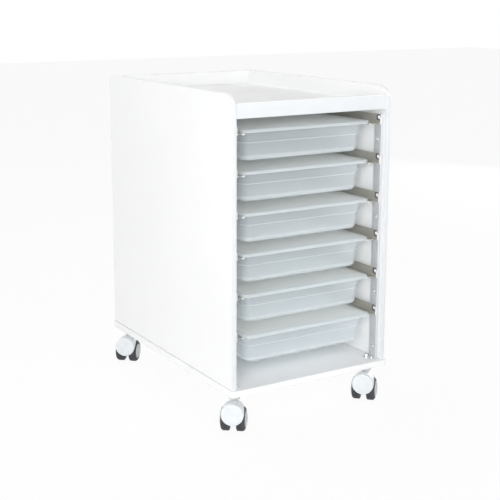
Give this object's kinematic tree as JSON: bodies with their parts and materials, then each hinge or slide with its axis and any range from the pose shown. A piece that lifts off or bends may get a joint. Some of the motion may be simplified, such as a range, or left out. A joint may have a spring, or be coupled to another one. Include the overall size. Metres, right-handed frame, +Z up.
{
  "type": "laboratory tray cart",
  "caption": "White board cabinet on swivel casters, open at the front, with lidded trays that slide on steel runners and a recessed top shelf.",
  "frame": {"origin": "on the floor, under the middle of the cart's bounding box", "axes": "+Z up, +X to the cart's right seen from its open front, -Y out of the open front"},
  "size_m": [0.4484, 0.6318, 0.7483],
  "materials": {
    "white_board": "satin white",
    "upright_steel": "satin",
    "runner_steel": "dull grey",
    "tray_plastic": "translucent, satin",
    "lid_plastic": "translucent, satin",
    "caster_white": "gloss white",
    "bright_steel": "bright plated",
    "wheel_rubber": "matt charcoal"
  },
  "bodies": {
    "cabinet": {"base_board": "white_board", "left_side_panel": "white_board", "right_side_panel": "white_board", "back_panel": "white_board", "top_shelf": "white_board", "front_lip": "white_board", "front_left_upright": "upright_steel", "front_right_upright": "upright_steel", "rear_left_upright": "upright_steel", "rear_right_upright": "upright_steel", "left_runner_1": "runner_steel", "left_runner_2": "runner_steel", "left_runner_3": "runner_steel", "left_runner_4": "runner_steel", "left_runner_5": "runner_steel", "left_runner_6": "runner_steel", "right_runner_1": "runner_steel", "right_runner_2": "runner_steel", "right_runner_3": "runner_steel", "right_runner_4": "runner_steel", "right_runner_5": "runner_steel", "right_runner_6": "runner_steel", "front_left_stem": "bright_steel", "front_right_stem": "bright_steel", "rear_left_stem": "bright_steel", "rear_right_stem": "bright_steel", "front_left_stem_nut": "bright_steel", "front_right_stem_nut": "bright_steel", "rear_left_stem_nut": "bright_steel", "rear_right_stem_nut": "bright_steel"},
    "tray_1_with_lid": {"tray_1": "tray_plastic", "lid_1": "lid_plastic"},
    "tray_2_with_lid": {"tray_2": "tray_plastic", "lid_2": "lid_plastic"},
    "tray_3_with_lid": {"tray_3": "tray_plastic", "lid_3": "lid_plastic"},
    "tray_4_with_lid": {"tray_4": "tray_plastic", "lid_4": "lid_plastic"},
    "tray_5_with_lid": {"tray_5": "tray_plastic", "lid_5": "lid_plastic"},
    "tray_6_with_lid": {"tray_6": "tray_plastic", "lid_6": "lid_plastic"},
    "front_left_caster": {"front_left_caster_hood": "caster_white", "front_left_axle": "bright_steel"},
    "front_left_left_wheel_body": {"front_left_left_wheel": "wheel_rubber"},
    "front_left_right_wheel_body": {"front_left_right_wheel": "wheel_rubber"},
    "front_right_caster": {"front_right_caster_hood": "caster_white", "front_right_axle": "bright_steel"},
    "front_right_left_wheel_body": {"front_right_left_wheel": "wheel_rubber"},
    "front_right_right_wheel_body": {"front_right_right_wheel": "wheel_rubber"},
    "rear_left_caster": {"rear_left_caster_hood": "caster_white", "rear_left_axle": "bright_steel"},
    "rear_left_left_wheel_body": {"rear_left_left_wheel": "wheel_rubber"},
    "rear_left_right_wheel_body": {"rear_left_right_wheel": "wheel_rubber"},
    "rear_right_caster": {"rear_right_caster_hood": "caster_white", "rear_right_axle": "bright_steel"},
    "rear_right_left_wheel_body": {"rear_right_left_wheel": "wheel_rubber"},
    "rear_right_right_wheel_body": {"rear_right_right_wheel": "wheel_rubber"}
  },
  "joints": [
    {"name": "tray_1_slide", "type": "slide", "parent": "cabinet", "child": "tray_1_with_lid", "axis": [0, -1, 0], "range_m": [-0.031, 0.25]},
    {"name": "tray_2_slide", "type": "slide", "parent": "cabinet", "child": "tray_2_with_lid", "axis": [0, -1, 0], "range_m": [-0.0295, 0.25]},
    {"name": "tray_3_slide", "type": "slide", "parent": "cabinet", "child": "tray_3_with_lid", "axis": [0, -1, 0], "range_m": [-0.035, 0.25]},
    {"name": "tray_4_slide", "type": "slide", "parent": "cabinet", "child": "tray_4_with_lid", "axis": [0, -1, 0], "range_m": [-0.0345, 0.25]},
    {"name": "tray_5_slide", "type": "slide", "parent": "cabinet", "child": "tray_5_with_lid", "axis": [0, -1, 0], "range_m": [-0.0395, 0.25]},
    {"name": "tray_6_slide", "type": "slide", "parent": "cabinet", "child": "tray_6_with_lid", "axis": [0, -1, 0], "range_m": [-0.0485, 0.25]},
    {"name": "front_left_swivel", "type": "hinge", "parent": "cabinet", "child": "front_left_caster", "pos_m": [-0.17389, -0.26357, 0.075], "axis": [0, 0, 1], "continuous": true},
    {"name": "front_left_left_wheel_roll", "type": "hinge", "parent": "front_left_caster", "child": "front_left_left_wheel_body", "pos_m": [-0.19127, -0.27283, 0.02725], "axis": [0.788, -0.6157, 0], "continuous": true},
    {"name": "front_left_right_wheel_roll", "type": "hinge", "parent": "front_left_caster", "child": "front_left_right_wheel_body", "pos_m": [-0.17866, -0.28268, 0.02725], "axis": [0.788, -0.6157, 0], "continuous": true},
    {"name": "front_right_swivel", "type": "hinge", "parent": "cabinet", "child": "front_right_caster", "pos_m": [0.19271, -0.26357, 0.075], "axis": [0, 0, 1], "continuous": true},
    {"name": "front_right_left_wheel_roll", "type": "hinge", "parent": "front_right_caster", "child": "front_right_left_wheel_body", "pos_m": [0.17421, -0.27032, 0.02725], "axis": [0.6947, -0.7193, 0], "continuous": true},
    {"name": "front_right_right_wheel_roll", "type": "hinge", "parent": "front_right_caster", "child": "front_right_right_wheel_body", "pos_m": [0.18532, -0.28182, 0.02725], "axis": [0.6947, -0.7193, 0], "continuous": true},
    {"name": "rear_left_swivel", "type": "hinge", "parent": "cabinet", "child": "rear_left_caster", "pos_m": [-0.17389, 0.27643, 0.075], "axis": [0, 0, 1], "continuous": true},
    {"name": "rear_left_left_wheel_roll", "type": "hinge", "parent": "rear_left_caster", "child": "rear_left_left_wheel_body", "pos_m": [-0.19201, 0.26872, 0.02725], "axis": [0.7314, -0.682, 0], "continuous": true},
    {"name": "rear_left_right_wheel_roll", "type": "hinge", "parent": "rear_left_caster", "child": "rear_left_right_wheel_body", "pos_m": [-0.18031, 0.25781, 0.02725], "axis": [0.7314, -0.682, 0], "continuous": true},
    {"name": "rear_right_swivel", "type": "hinge", "parent": "cabinet", "child": "rear_right_caster", "pos_m": [0.19271, 0.27643, 0.075], "axis": [0, 0, 1], "continuous": true},
    {"name": "rear_right_left_wheel_roll", "type": "hinge", "parent": "rear_right_caster", "child": "rear_right_left_wheel_body", "pos_m": [0.17459, 0.26872, 0.02725], "axis": [0.7314, -0.682, 0], "continuous": true},
    {"name": "rear_right_right_wheel_roll", "type": "hinge", "parent": "rear_right_caster", "child": "rear_right_right_wheel_body", "pos_m": [0.18629, 0.25781, 0.02725], "axis": [0.7314, -0.682, 0], "continuous": true}
  ]
}
